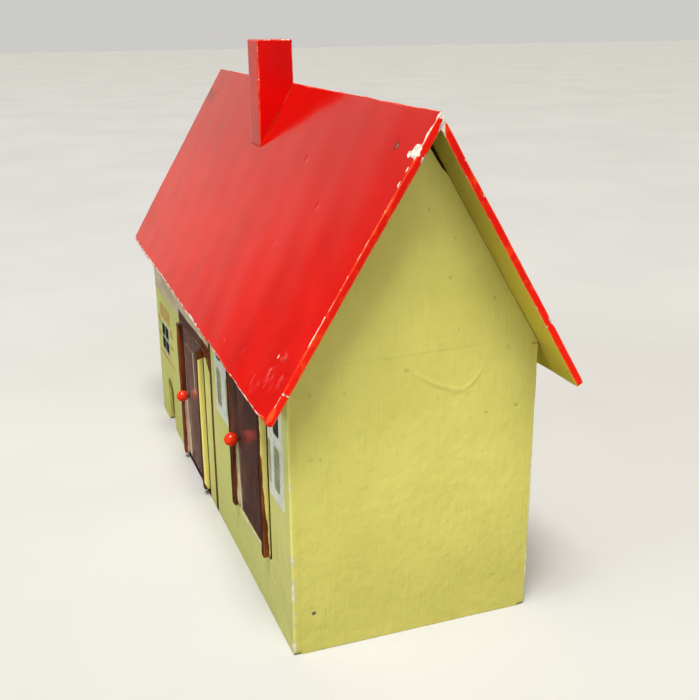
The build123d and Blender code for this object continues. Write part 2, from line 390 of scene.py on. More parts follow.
class Nodes:
    """Adds nodes to a tree and hands back their outputs as values."""

    def __init__(self, tree):
        self.tree = tree

    def put(self, slot, value):
        if isinstance(value, Value):
            self.tree.links.new(value.socket, slot)
        else:
            slot.default_value = value

    def add(self, kind, inputs=(), output=0, **settings):
        """One output of a new node. inputs are values in the node's order, or by name or number in a dict."""
        node = self.tree.nodes.new(kind)
        for key, value in settings.items():
            setattr(node, key, value)
        for slot, value in inputs.items() if isinstance(inputs, dict) else enumerate(inputs):
            self.put(node.inputs[slot], value)
        return Value(self, node.outputs[output])

    def vector(self, operation, *inputs, output=0):
        return self.add("ShaderNodeVectorMath", inputs, output, operation=operation)

    def dot(self, source, way):
        """Dot product of a vector output with a fixed direction."""
        return self.vector("DOT_PRODUCT", source, tuple(way), output=1)

    def split(self, source):
        node = self.add("ShaderNodeSeparateXYZ", (source,)).socket.node
        return [Value(self, output) for output in node.outputs]

    def share(self, value, low, high, start, end):
        """Goes smoothly from start to end as value goes from low to high."""
        return self.add("ShaderNodeMapRange", (value, low, high, start, end), interpolation_type="SMOOTHSTEP")


class Paint(Nodes):
    """A Principled material under construction, with places in millimetres."""

    def __init__(self, name):
        self.material = bpy.data.materials.new(name)
        self.material.use_nodes = True
        super().__init__(self.material.node_tree)
        self.shader = self.tree.nodes["Principled BSDF"]
        self.space = self.vector("MULTIPLY", self.add("ShaderNodeTexCoord", output="Object"), (1 / MM,) * 3)
        self.flat = self.add("ShaderNodeAttribute", output="Vector", attribute_name="flat")
        self.x, self.y, self.z = self.split(self.space)
        self.u, self.v, self.near = self.split(self.flat)

    def noise(self, size, detail=2.0, stretch=(1, 1, 1), source=None, shift=0.0):
        """Noise about 0, roughly -1 to 1, with features of about size millimetres."""
        scale = tuple(1 / (size * s) for s in stretch)
        place = self.vector("MULTIPLY_ADD", source or self.space, scale, (shift,) * 3)
        return (self.add("ShaderNodeTexNoise", {"Vector": place, "Scale": 1.0, "Detail": detail}) - 0.5) * 3.0

    def specks(self, size, chance):
        """Sparse round specks: 1 at their middle. chance is the share of cells that hold one."""
        gap = self.add("ShaderNodeTexVoronoi", {"Vector": self.space, "Scale": 1 / size}, "Distance")
        pick = self.split(Value(self, gap.socket.node.outputs["Color"]))[0]
        return gap.below(0.05, 0.13) * pick.below(chance * 0.9, chance)

    def spots(self, marks):
        """The strongest of some oval marks (u, v, half width, half height, strength) on the face."""
        found = []
        for u, v, wide, high, strength in marks:
            place = self.vector("MULTIPLY_ADD", self.flat, (1 / wide, 1 / high, 0), (-u / wide, -v / high, 0))
            found.append((1 - self.vector("LENGTH", place, output="Value")) * strength)
        return strongest(found)

    def lines(self, marks):
        """The strongest of some straight marks (u, v, other u, other v, half width, strength) on the face."""
        found = []
        for u, v, other_u, other_v, wide, strength in marks:
            middle = Vector(((u + other_u) / 2, (v + other_v) / 2, 0))
            run = Vector((other_u - u, other_v - v, 0))
            half = run.length / 2
            along = run.normalized()
            across = Vector((-along.y, along.x, 0))
            away = [(self.dot(self.flat, way) - middle.dot(way)).math("ABSOLUTE") * (1 / size)
                    for way, size in ((across, wide), (along, half))]
            ends = (1 - away[1]) * (half / LINE_END)
            found.append((1 - away[0]).math("MINIMUM", ends) * strength)
        return strongest(found)

    def mix(self, share, first, second):
        """First where share is 0 and second where it is 1. Both are display tones or colour outputs."""
        first, second = (tone if isinstance(tone, Value) else rgb(tone) for tone in (first, second))
        return self.add("ShaderNodeMix", {0: share, 6: first, 7: second}, 2, data_type="RGBA")

    def cover(self, share, tone):
        """Covers the colour so far with a tone, as far as share says."""
        self.colour = self.mix(share, self.colour, tone)

    def finish(self, roughness, relief=None, **fixed):
        """Connects colour, roughness and a relief height in millimetres. fixed are plain shader values."""
        inputs = self.shader.inputs
        self.put(inputs["Base Color"], self.colour)
        self.put(inputs["Roughness"], roughness)
        if relief is not None:
            bump = self.add("ShaderNodeBump", {"Strength": 1.0, "Distance": MM, "Height": relief})
            self.put(inputs["Normal"], bump)
        for key, value in fixed.items():
            inputs[key.replace("_", " ")].default_value = value
        return self.material


CREAM = (214, 203, 176)
GREY_PRIMER = (176, 174, 162)
# pits in the gable's paint (u, v, half width, half height, strength)
GABLE_PITS = ((5.7, 283, 1.2, 1.6, 0.9), (23, 265, 1.2, 2.2, 0.9), (20.5, 241, 1.8, 1.8, 0.9),
              (51, 225, 1.2, 2.0, 1.2), (27, 208, 1.0, 1.4, 0.8), (-64, 135, 1.2, 1.8, 1.2),
              (-7.5, 185.6, 2.6, 1.7, 1.2), (48, 150, 2.6, 1.4, 1.0), (-70, 178, 1.2, 2.0, 0.9),
              (62, 192, 1.4, 3.0, 0.9), (-48, 176, 1.4, 1.6, 0.9), (58, 30, 2.4, 1.4, 0.8))
RUN_U, RUN_V = 29, 167.4  # lowest point of the sagging paint run on the gable


def strongest(marks):
    return functools.reduce(lambda best, mark: best.math("MAXIMUM", mark), marks)


def chips(paint, wear, marks=(), lines=(), behind=None):
    """Where the paint has come off: 1 inside a chip. wear is how readily edges chip.

    behind is (direction, offset, reach): behind the offset, chips die out over the reach."""
    rough = paint.noise(9, 3) * 0.4 + paint.noise(2.4, 3, shift=7) * 0.34
    potential = paint.near * wear
    if behind:
        way, offset, reach = behind
        rough = rough - paint.dot(paint.space, way).below(offset - reach, offset) * 1.5
    for find, places in ((paint.spots, marks), (paint.lines, lines)):
        if places:
            potential = potential + find(places).math("MAXIMUM", 0.0)
    return (potential + rough).above(1.0, 1.06)


def gable_marks(p, dark):
    """A sagging paint run at the upper middle of the gable, the faint line of an old fold above it, and pits.

    Hands back their relief."""
    left = ((RUN_U - p.u) * (1 / 38)).math("MAXIMUM", 0)
    right = ((p.u - RUN_U) * (1 / 18)).math("MAXIMUM", 0)
    hang = p.v - RUN_V - left.math("POWER", 1.4) * 19 - right * right * 17.6 + p.noise(14, 1, shift=4) * 0.9
    reach = p.u.above(-15, 6) * p.u.below(40, 49)
    run = hang.math("ABSOLUTE").below(0.2, 2.8) * reach
    shelf = hang.above(-1.5, 5) * reach * p.v.below(174, 194)
    fold = (p.v - 195.2 - p.u * 0.02 - p.noise(40, 1) * 0.8).math("ABSOLUTE").below(0.1, 1.1)
    fold = fold * p.u.above(-60, -40) * p.u.below(36, 62)
    pits = p.spots(GABLE_PITS).above(0.0, 0.8)
    p.cover(pits * 0.3, (128, 116, 58))
    p.cover(run * 0.1 + fold * 0.12, shade(dark, 0.86))
    return pits * 0.12 + run * 0.24 - shelf * 0.16 + fold * 0.06


def wall_paint(name, light, dark, wear, marks=(), lines=(), behind=None, grain=(1, 1, 40), gable=False,
               soffit=False):
    """Satin yellow-green wall paint brushed over wood, with grain, grime specks and worn edges, a painted
    highlight along the edges, and painted shade: low on the walls, and on the soffit towards the ridge and
    inside the house.
    """
    p = Paint(name)
    cloud = p.noise(55, 3) * 0.5 + 0.5
    streak = p.noise(1.2, 2, tuple(g ** 0.75 for g in grain))
    brush = p.noise(4.5, 3, tuple(g ** 0.5 for g in grain), shift=8)
    p.colour = p.mix(cloud.above(0.0, 1.0) * 0.7 + 0.3, dark, light)
    p.cover(streak.above(0.15, 0.9) * 0.14, shade(dark, 0.84))
    p.cover(p.noise(9, 4, shift=3).above(0.2, 1.0) * (0.38 if soffit else 0.18), shade(dark, 0.86))
    p.cover(p.specks(14, 0.10) * 0.7, (118, 104, 52))
    # painted highlight: a paler copy of the paint along the rounded edges
    p.cover(p.near.above(0.6, 1.0) * 0.3, tuple(min(255, c * 1.06 + 6) for c in light))
    if soffit:
        # painted shade: darker towards the ridge, and near black where it is inside the house, which shows as
        # a dark line in the gap under the gable's top
        p.cover(p.z.above(200, 330) * 0.8, shade(dark, 0.72))
        indoor_shade = p.x.math("ABSOLUTE").below(HALF_LENGTH - 0.4, HALF_LENGTH + 0.6)
        p.cover(indoor_shade * p.y.math("ABSOLUTE").below(82, 87) * 0.94, (44, 36, 16))
    else:
        # painted shade: the walls darker towards the bottom
        p.cover(p.z.below(0, 110) * 0.36, shade(dark, 0.84))
    chip = chips(p, wear, marks, lines, behind)
    p.cover(chip, p.mix(p.noise(5, 2, shift=4).above(-0.5, 0.2), GREY_PRIMER, CREAM))
    patchy = p.noise(30, 2, shift=9).above(-0.7, 0.5) * 0.8 + 0.2
    relief = streak * patchy * 0.08 + brush * 0.07 + p.noise(24, 2, shift=2) * 0.24 - chip * 0.09
    relief = relief + p.noise(6, 3, shift=5) * 0.17
    if gable:
        relief = relief + gable_marks(p, dark)
    return p.finish(0.42 + p.noise(12, 3, shift=1) * 0.07 + chip * 0.3, relief, Specular_IOR_Level=0.4)


def red_enamel(name, tone, deep, wear, marks=(), lines=(), scuffs_and_sheen=(), stains=(), dents=(), gloss=0.16,
               streaks=0.0, behind=None, coat=0.35, shine=0.5, fade=None):
    """Glossy red enamel with scuffs that also carry a painted pinkish reflection, stains and pale chips."""
    p = Paint(name)
    p.colour = p.mix(p.noise(45, 3).above(-0.5, 0.9), tone, deep)
    p.cover(p.noise(6, 4, (1, 3, 1), shift=6).above(0.2, 1.1) * 0.2, shade(deep, 0.82))
    if fade:
        p.cover(p.v.above(*fade) * 0.62, shade(deep, 0.86))
    if streaks:
        p.cover(p.z.below(170, 280) * 0.8, (246, 26, 0))
        mottle = p.noise(7, 3, shift=9)
        p.cover(mottle.above(0.1, 0.8) * streaks, (244, 84, 14))
        p.cover(mottle.below(-1.0, -0.62) * streaks, (110, 22, 10))
    rough = gloss + p.noise(14, 3, shift=1) * 0.05
    if scuffs_and_sheen:
        fine = p.noise(1.5, 2, (1, 7, 1), source=p.flat, shift=2)
        soft = p.noise(5, 3, source=p.flat, shift=4)
        # scuffed patches: rougher, and coloured pale pink as a painted reflection on the glossy enamel
        scuff_and_sheen_haze = (p.spots(scuffs_and_sheen) + soft * 0.4).above(0.0, 1.0) * (fine + soft * 0.4).above(-0.1, 0.9)
        p.cover(scuff_and_sheen_haze * 0.62, (240, 130, 126))
        rough = rough + scuff_and_sheen_haze * 0.2
    thin = p.near.above(0.8, 1.0) * p.noise(10, 3, shift=12).above(-0.7, 0.5)
    p.cover(thin * 0.6, (255, 100, 48))
    if stains:
        stain = (p.spots(stains) + p.noise(5, 3, shift=5) * 0.35).above(0.05, 1.1)
        p.cover(stain * 0.75, (92, 30, 24))
    chip = chips(p, wear, marks, lines, behind)
    p.cover(chip, p.mix(p.noise(4, 2, shift=4).above(-0.4, 0.4), (178, 170, 162), (222, 212, 194)))
    relief = p.noise(20, 2, shift=3) * 0.012 + p.noise(2.2, 2, shift=8) * 0.012 - chip * 0.1
    relief = relief + p.noise(1.3, 2, (1, 9, 1), source=p.flat, shift=3) * 0.014
    relief = relief + p.noise(6, 2, shift=2) * 0.007 + p.specks(9, 0.12) * 0.03
    if dents:
        relief = relief - p.spots(dents).above(0.0, 1.0) * 0.25
    return p.finish(rough + chip * 0.5, relief, Coat_Weight=coat, Coat_Roughness=0.07,
                    Specular_IOR_Level=shine)


def brown_gloss(name, tone=(110, 79, 70), deep=(72, 47, 41), gloss=0.2, lines=()):
    """Dark brown varnish-like paint, brushed upright, with pale upright scratches that also serve as painted
    reflection streaks.
    """
    p = Paint(name)
    streak = p.noise(2.2, 3, (1, 1, 14))
    p.colour = p.mix(streak.above(-0.8, 0.9), deep, tone)
    p.cover(p.noise(15, 3, (1, 1, 3), shift=3).above(0.1, 1.0) * 0.3, (104, 44, 30))
    # pale upright streaks: scratches, which also stand for painted reflections on the gloss
    scratch_and_reflection = p.noise(0.9, 3, (1, 1, 22), shift=5).above(0.35, 1.1)
    p.cover(scratch_and_reflection * 0.4, (146, 122, 114))
    chip = chips(p, 0.25, lines=lines)
    p.cover(chip, p.mix(p.noise(3, 2).above(-0.2, 0.3), (170, 134, 100), (196, 186, 182)))
    rough = gloss + p.noise(10, 2, shift=1) * 0.05 + chip * 0.4 + scratch_and_reflection * 0.2
    relief = streak * 0.02 + p.noise(14, 2, shift=2) * 0.08 - chip * 0.06
    return p.finish(rough, relief, Specular_IOR_Level=0.45)


def hand_paint(name, tone, deep, gloss, size, stretch=(1, 1, 1), patches=None):
    """A thick hand-painted film of one colour, with brush ridges."""
    p = Paint(name)
    p.colour = p.mix(p.noise(size, 3, stretch).above(-0.7, 0.8), deep, tone)
    if patches is not None:
        p.cover(p.noise(6, 2, shift=6).above(0.3, 1.1) * 0.8, patches)
    bristle = p.noise(0.7, 2, tuple(5 * s for s in stretch) if stretch != (1, 1, 1) else (5, 1, 1), shift=2)
    return p.finish(gloss + p.noise(5, 2, shift=1) * 0.06, bristle * 0.02 + p.noise(3, 2) * 0.03,
                    Specular_IOR_Level=0.4)


def raw_wood(name, grain):
    """Bare softwood with growth rings drawn out along the grain."""
    p = Paint(name)
    light, dark = (212, 182, 136), (180, 144, 98)
    rings = p.noise(3.4, 4, grain)
    fibre = p.noise(0.5, 2, tuple(3 * g for g in grain), shift=5)
    p.colour = p.mix((rings + p.noise(30, 2) * 0.33).above(-0.6, 0.8), dark, light)
    p.cover(fibre.above(0.2, 0.9) * 0.3, shade(dark, 0.8))
    return p.finish(0.72 + rings * 0.06, (fibre + rings) * 0.03)


def stile_paint(name, right, front_tone, side_tone, inner_tones, reach_at, switch):
    """Stile paint: dark front, orange-brown round the arris, another colour behind it on the side facing +X.

    reach_at lists (height, how far the orange-brown reaches back). inner_tones are the colours of the rest of
    the side below and above the heights in switch."""
    p = Paint(name)
    upright = (1, 1, 8)
    streak = p.noise(1.6, 3, upright)
    reach = p.noise(6, 3, (1, 1, 1.6), shift=2) * 0.6 + reach_at[0][1]
    for (low, before), (high, after) in zip(reach_at, reach_at[1:]):
        reach = reach + p.z.above(low, high) * (after - before)
    depth = p.y - (FRONT - STILE_DEPTH)
    side = p.x.above(right - 1.3, right - 0.5)
    brown = p.mix(streak.above(-0.8, 0.8), shade(front_tone, 0.78), front_tone)
    orange = p.mix(p.noise(4, 3, upright, shift=4).above(-0.4, 0.6), shade(side_tone, 0.6), side_tone)
    brown = p.mix(p.x.above(right - 2.6, right - 0.9), brown, orange)
    patchy = (p.z + p.noise(7, 3, (1, 1, 2), shift=6) * 6).above(*switch)
    inner = p.mix(streak.below(-0.9, 0.2) * 0.16, p.mix(patchy, *inner_tones), shade(inner_tones[0], 0.6))
    uncovered = side * (depth - reach).above(-0.15, 0.25)
    p.colour = p.mix(uncovered, brown, inner)
    relief = streak * 0.02 + p.noise(9, 2, shift=2) * 0.07 - uncovered * 0.05
    return p.finish(0.24 + p.noise(9, 2) * 0.05 + uncovered * 0.1, relief, Specular_IOR_Level=0.45)


def bead_enamel(name):
    """Shiny orange-red bead paint, with dark flecks and pale chips."""
    p = Paint(name)
    p.colour = p.mix(p.noise(4, 3).above(-0.6, 0.8), (236, 40, 10), (252, 62, 18))
    p.cover(p.noise(1.5, 3, shift=4).above(0.7, 1.0) * 0.5, (150, 22, 8))
    chip = p.noise(2.2, 3, shift=8).above(1.18, 1.24)
    p.cover(chip, (222, 190, 140))
    return p.finish(0.16 + chip * 0.4, p.noise(2.5, 2) * 0.03 - chip * 0.05,
                    Coat_Weight=0.4, Coat_Roughness=0.05)


def nail_metal(name, film, cover):
    """Dull nail steel with the remains of a paint film. cover is how much of it the film hides."""
    p = Paint(name)
    bare = p.noise(0.9, 2).above(cover, cover + 0.2)
    steel = p.mix(p.noise(0.6, 2, shift=6).above(-0.2, 0.4), (104, 74, 56), (96, 92, 86))
    p.put(p.shader.inputs["Metallic"], bare * 0.8)
    p.colour = p.mix(bare, film, steel)
    return p.finish(0.5 + p.noise(0.5, 2, shift=3) * 0.1, p.noise(0.4, 2) * 0.02)


WALL_LIGHT, WALL_DARK = (219, 211, 110), (199, 191, 90)
FRONT_LIGHT, FRONT_DARK = (216, 214, 130), (198, 196, 110)
front_wear = dict(
    wear=0.42,
    marks=((228.6, 68, 3.5, 7, 0.95), (228.8, 47, 3.8, 10, 1.0), (227.5, 6, 4.5, 7, 1.25),
           (229.4, 120, 2, 6, 0.5), (201, 18, 5, 3, 0.5), (-228, 10, 4, 6, 0.6)),
    lines=((230, 0, 230, 66, 2.0, 0.4), (230, 66, 230, 190, 1.0, 0.36)), behind=(-Y, 82.6, 0.8))
front_yellow = wall_paint("wall_yellow_front", FRONT_LIGHT, FRONT_DARK, **front_wear)
end_yellow = wall_paint("wall_yellow_front_ends", WALL_LIGHT, WALL_DARK, **front_wear)
gable_yellow = wall_paint(
    "wall_yellow_gable", WALL_LIGHT, WALL_DARK, wear=0.3, gable=True,
    marks=((77, 3, 5, 4, 0.8), (79, 188, 3, 9, 0.6)), lines=((15, 0, 79, 0, 1.3, 0.5),))
plain_yellow = wall_paint("wall_yellow_plain", WALL_LIGHT, WALL_DARK, wear=0.4)
rear_yellow = wall_paint("wall_yellow_rear", WALL_LIGHT, WALL_DARK, wear=0.4,
                         lines=((-230, 0, -230, 192, 1.6, 0.6),), behind=(Y, 83.0, 0.8))
soffit_yellow = wall_paint("roof_underside_yellow", (206, 190, 64), (184, 168, 50), wear=0.25,
                           grain=(40, 1, 1), soffit=True)
front_red = red_enamel(
    "roof_red_front", (208, 13, 5), (190, 8, 4), wear=0.36, fade=(-150, -10),
    marks=((251, -24, 7.5, 7.5, 2.4), (245, -27, 6, 4, 2.0), (254, -13, 2.5, 9, 1.6), (255, -3, 2.5, 4, 1.6),
           (219, -164, 1.3, 2.6, 2.2), (251.5, -44, 2.0, 5, 1.4), (252, -36, 1.5, 6, 1.2)),
    lines=((-251.5, -191.1, 60, -195.9, 6.0, 1.02), (60, -195.9, 248.5, -198.8, 3.5, 0.95),
           (248.5, -198.8, 255.5, 0, 1.3, 0.72), (250.2, -150, 250.8, -126, 2.4, 1.2),
           (248.5, -199, 249.4, -180, 1.5, 1.0)),
    scuffs_and_sheen=((223, -178, 13, 10, 1.0), (228.5, -161, 6, 5, 1.0), (205, -187, 16, 6, 0.8),
            (237, -174, 7, 9, 0.7), (170, -180, 14, 6, 0.4), (124, -184, 3, 3, 1.3)),
    stains=((-246, -27, 8, 9, 1.3), (-232, -30, 14, 10, 0.9), (-144, -52, 7, 4, 0.9),
            (229.5, -163, 1.6, 3, 1.8), (224.3, -24.6, 3.6, 3.6, 3.6)),
    dents=((99, -51, 6, 4, 1.0), (159, -76, 4, 3, 1.0), (120, -110, 5, 3, 0.7)))
rear_red = red_enamel("roof_red_rear", (208, 14, 8), (190, 8, 6), wear=0.36,
                      scuffs_and_sheen=((150, -150, 40, 20, 0.8), (-120, -90, 50, 14, 0.5)),
                      stains=((200, -40, 14, 9, 0.8),), marks=((-252, -10, 6, 10, 1.0),),
                      lines=((-255.5, -198.8, 255.5, -198.8, 3.0, 0.8),
                             (-255.5, -198.8, -255.5, 0, 2.0, 0.95)))
edge_red = red_enamel("roof_red_edge", (222, 16, 2), (204, 8, 2), wear=0.5, streaks=0.6, gloss=0.36,
                      coat=0.0, shine=0.16,
                      marks=((254, -1, 4, 5, 1.3), (-254, -1, 4, 7, 1.25), (249, -178, 1.0, 1.5, 1.2),
                             (254.6, -24, 3, 8, 0.85)),
                      lines=((-255.5, -198.8, -255.5, 0, 1.4, 0.3),), stains=((224.3, -24.6, 5, 5, 4.0),))
chimney_red = red_enamel("chimney_red", (216, 2, 1), (194, 1, 1), wear=0.4, gloss=0.2,
                         lines=((-29, 296, -29, 373, 1.6, 0.5), (-29, 373.4, -1, 373.4, 1.4, 0.8)),
                         behind=(X, -9.8, 0.8))
door_browns = {"near": brown_gloss("near_door_brown", lines=((90, 44, 182, 44, 1.5, 1.0),)),
               # the far door's browns are lighter than the near door's: painted reflection on its glossy leaf
               "far": brown_gloss("far_door_brown_painted_reflection", (146, 116, 104), (100, 73, 64),
                                  lines=((-101, 5, -10, 5, 1.5, 1.0),))}
trim_brown = brown_gloss("trim_brown", (92, 58, 44), (60, 36, 28), gloss=0.35)
bead_red = bead_enamel("bead_red")
bare_wood = raw_wood("bare_wood_along", grain=(18, 1, 1))
post_wood = raw_wood("bare_wood_upright", grain=(1, 1, 18))
dark_strip = brown_gloss("threshold_brown", (70, 40, 30), (44, 26, 20), gloss=0.5)
yellow_nail = nail_metal("nail_in_yellow", (206, 198, 104), 0.35)
red_nail = nail_metal("nail_in_red", (186, 20, 12), 0.3)
bare_nail = nail_metal("nail_bare", (112, 98, 92), 0.3)


# ---------------------------------------------------------------- house boards

def gable_corners(half, shoulder, apex, outer, seat):
    """Outline of a gable whose two ears, outer wide and from seat up, reach over the ends of the walls."""
    side = [(half, seat, 0.1), (outer, seat, 0.1), (outer, shoulder - STEEP * (outer - half) - 0.3, 0.1)]
    # the top is cut back a little on both slopes, which leaves a dark gap under the ridge
    side += [(u, shoulder + STEEP * (half - u) - cut_back, rounding)
             for u, cut_back, rounding in ((17, 0.15, 2), (13.5, 2.6, 1.5))]
    return ([(-half, 0, 0.5), (half, 0, 3.5)] + side + [(0, apex - 1.6, 0.6)]
            + [(-u, v, rounding) for u, v, rounding in reversed(side)])


def doorway(node):
    """Left, right, bottom and top of the opening round a door leaf."""
    low, high = low_high(node)
    return low[0] - 1, high[0] + 3.5, low[2] - 1, high[2] + 1


wall_low, wall_high = low_high("front_wall")
near_left, near_right, near_bottom, near_top = doorway("near_door_panel")
far_left, far_right, _, far_top = doorway("far_door_panel")
arch_left, arch_right, arch_top = -194.0, -164.5, 49.5
arch_radius = (arch_right - arch_left) / 2
arch = [(arch_left + arch_radius * (1 - math.cos(t)), arch_top - arch_radius * (1 - math.sin(t)))
        for t in np.linspace(0, math.pi, 19)]
wall_corners = ([(wall_low[0], 0, 3.5), (arch_left, 0, 5.0)] + arch
                + [(arch_right, 0, 2.5), (far_left, 0, 0.8), (far_left, far_top, 0.8),
                   (far_right, far_top, 0.8), (far_right, 0, 0.8), (wall_high[0], 0, 3.2),
                   (wall_high[0], wall_high[2], 0.8), (wall_low[0], wall_high[2], 0.8)])
doorway_hole = [(near_left, near_bottom, 0.8), (near_left, near_top, 0.8), (near_right, near_top, 0.8),
                (near_right, near_bottom, 0.8)]


def wall_edge(loop):
    """Front wall: corners of the house are rounder than the cut edges."""
    return np.where(np.abs(loop[:, 0]) > HALF_LENGTH - 2, 0.75, 0.4)


def wall_back_edge(loop):
    """Front wall: the inner arris of the arch is cut away, the rest is nearly sharp."""
    in_arch = (loop[:, 0] > arch_left - 0.1) & (loop[:, 0] < arch_right + 0.1) & (loop[:, 1] < arch_top + 0.1)
    return np.where(in_arch & (loop[:, 0] < arch_right - 6), 2.4, 0.08)


front_wall = board("front_wall_board", [outline(wall_corners, 2.2), outline(doorway_hole, 2.2)],
                   wall_high[1] - wall_low[1], facade, [front_yellow, end_yellow, bare_wood], seed=21,
                   edge=wall_edge, back_edge=wall_back_edge, wander=0.1, swell=0.02)
stand_in(front_wall, "front_wall")


def rear_edge(loop):
    """Rear wall: the arris is rounder round the near foot corner."""
    return 0.9 + 2.0 * np.clip(1 - np.hypot(loop[:, 0] + HALF_LENGTH, loop[:, 1]) / 10, 0, 1)


rear_corners = [(-HALF_LENGTH, 0, 3.4), (HALF_LENGTH, 0, 2.0), (HALF_LENGTH, wall_high[2], 0.8),
                (-HALF_LENGTH, wall_high[2], 0.8)]
rear_wall = board("rear_wall_board", [outline(rear_corners, 2.2)], 5.0, rear,
                  [rear_yellow, rear_yellow, bare_wood], seed=31, edge=rear_edge, back_edge=0.08,
                  wander=0.1, swell=0.04)
stand_in(rear_wall, "rear_wall")


def gable_edge(loop):
    """Gable: nearly sharp where it meets the other walls and holds nails, rounder at the foot."""
    return np.where(loop[:, 1] < 1, 0.4, 0.08)


gable_low, gable_high = low_high("near_gable")
shoulder = RIDGE - ROOF_BOARD / math.cos(ROOF_SLOPE) - STEEP * gable_high[1]
gable_outline = outline(gable_corners(gable_high[1], shoulder - 0.1, gable_high[2],
                                      low_high("rear_wall")[1][1] - 0.4, wall_high[2] + 0.1), 2.2)
for name, node, face, side in (("near_gable_board", "near_gable", near_end, 1),
                               ("far_gable_board", "far_gable", far_end, -1)):
    holes = [circle(side * u, v, NAIL_HOLE, 16) for u, v in GABLE_NAILS]
    gable = board(name, [gable_outline] + holes, gable_high[0] - gable_low[0], face,
                  [gable_yellow if side > 0 else plain_yellow, plain_yellow, post_wood], seed=41 + side,
                  edge=gable_edge, back_edge=0.2, hold=0.35, swell=0.02)
    stand_in(gable, node)


# ---------------------------------------------------------------- roof and chimney

def mitre(points):
    """Leans the ridge end of a roof board to the upright plane where the two boards meet."""
    points[:, 1] += points[:, 2] * STEEP * np.clip(1 + points[:, 1] / 40, 0, 1)
    return points


def roof_edge(eave):
    return lambda loop: np.where(loop[:, 1] < eave, 1.5, 0.5)


half_roof = low_high("rear_roof")[1][0]
near_drop = EAVE / math.cos(ROOF_SLOPE)
far_drop = (EAVE - FAR_SLANT) / math.cos(ROOF_SLOPE)
front_corners = [(-half_roof + FAR_SLANT, -far_drop, 2.2), (half_roof - NEAR_SLANT, -near_drop, 2.2),
                 (half_roof, 0, 0.9), (-half_roof, 0, 0.9)]
back_corners = [(-half_roof, -near_drop, 2.2), (half_roof, -near_drop, 2.2), (half_roof, 0, 0.9),
                (-half_roof, 0, 0.9)]
for name, node, face, corners, nails, paint, eave, seed in (
        ("front_roof_board", "front_roof", front_slope, front_corners, FRONT_ROOF_NAILS, front_red, -188, 51),
        ("rear_roof_board", "rear_roof", rear_slope, back_corners, REAR_ROOF_NAILS, rear_red, -195, 61)):
    holes = [circle(end * NAIL_LINE, -down, NAIL_HOLE, 16) for end in (-1, 1) for down in nails]
    roof = board(name, [outline(corners, 2.0)] + holes, ROOF_BOARD, face, [paint, edge_red, soffit_yellow],
                 seed, edge=roof_edge(eave), back_edge=0.7, hold=0.45, grid=5.0, wander=0.18, swell=0.07,
                 bend=mitre)
    stand_in(roof, node)

chimney_low, chimney_high = low_high("chimney")
chimney_corners = [(y, RIDGE + STEEP * y, cut) for y, cut in ((chimney_low[1], 0.5), (chimney_high[1], 0.8))]
chimney_corners += [(chimney_high[1], chimney_high[2], 1.4), (chimney_low[1], chimney_high[2], 1.4)]
chimney = board("chimney_block", [outline(chimney_corners, 1.6)], chimney_high[0] - chimney_low[0],
                Face((chimney_high[0], 0, 0), Y, Z), chimney_red, seed=71, edge=0.7, back_edge=0.7, hold=0.3,
                grid=3.5, wander=0.15, swell=0.1)
stand_in(chimney, "chimney")

NAIL_PROFILE = [(0, -0.1), (0.5, -0.1), (0.9, -0.11), (1.2, -0.14), (1.36, -0.24), (1.4, -0.5), (1.36, -0.95),
                (1.2, -1.0), (0.75, -1.0), (0.7, -1.2), (0.7, -8), (0.7, -19), (0.45, -20.2), (0, -20.9)]
gable_seats = [face.at(side * u, v) for face, side in ((near_end, 1), (far_end, -1)) for u, v in GABLE_NAILS]
roof_seats = [face.at(end * NAIL_LINE, -down)
              for face, nails in ((front_slope, FRONT_ROOF_NAILS), (rear_slope, REAR_ROOF_NAILS))
              for end in (-1, 1) for down in nails]
for name, seats, paints, bright in (("gable_nails_driven", gable_seats, [yellow_nail, bare_nail], (0, 4)),
                                    ("roof_nails_driven", roof_seats, [red_nail, bare_nail], (2,))):
    nails = turned(name, seats, NAIL_PROFILE, paints, "house", segments=24, uneven=0.01, bright=bright)
    stand_in(nails, name.replace("_driven", ""))


# ---------------------------------------------------------------- plain strips inside the house

def plank(node, paint, lower=0.0):
    """A square-sided strip in the box of a CAD node, its face across the thinnest way."""
    low, high = low_high(node)
    high = high - lower * Z
    size = high - low
    middle = (low + high) / 2
    thin = int(np.argmin(size))
    u, v = ((Y, Z), (-X, Z), (X, Y))[thin]
    wide, tall = size @ np.abs(u), size @ np.abs(v)
    corners = patch(-wide / 2, wide / 2, -tall / 2, tall / 2, 0.8)
    face = Face(middle + np.eye(3)[thin] * size[thin] / 2, u, v)
    piece = board(node + "_strip", [outline(corners, 3)], size[thin], face, paint, seed=len(node),
                  back_edge=0.4, hold=0.3)
    stand_in(piece, node)


for node in ("front_near_post", "rear_near_post", "front_far_post", "rear_far_post", "near_door_stop",
             "far_door_stop"):
    plank(node, post_wood)
plank("floor_board", bare_wood, lower=0.15)
plank("far_threshold", dark_strip)
partition_low, partition_high = low_high("partition")
half, foot, apex = partition_high[1], partition_low[2], partition_high[2]
partition_corners = [(-half, foot, 0.8), (half, foot, 0.8), (half, shoulder, 0.8), (0, apex, 0.6),
                     (-half, shoulder, 0.8)]
partition = board("partition_board", [outline(partition_corners, 4)], partition_high[0] - partition_low[0],
                  Face((partition_high[0], 0, 0), Y, Z), post_wood, seed=81, edge=0.3)
stand_in(partition, "partition")


# ---------------------------------------------------------------- doors

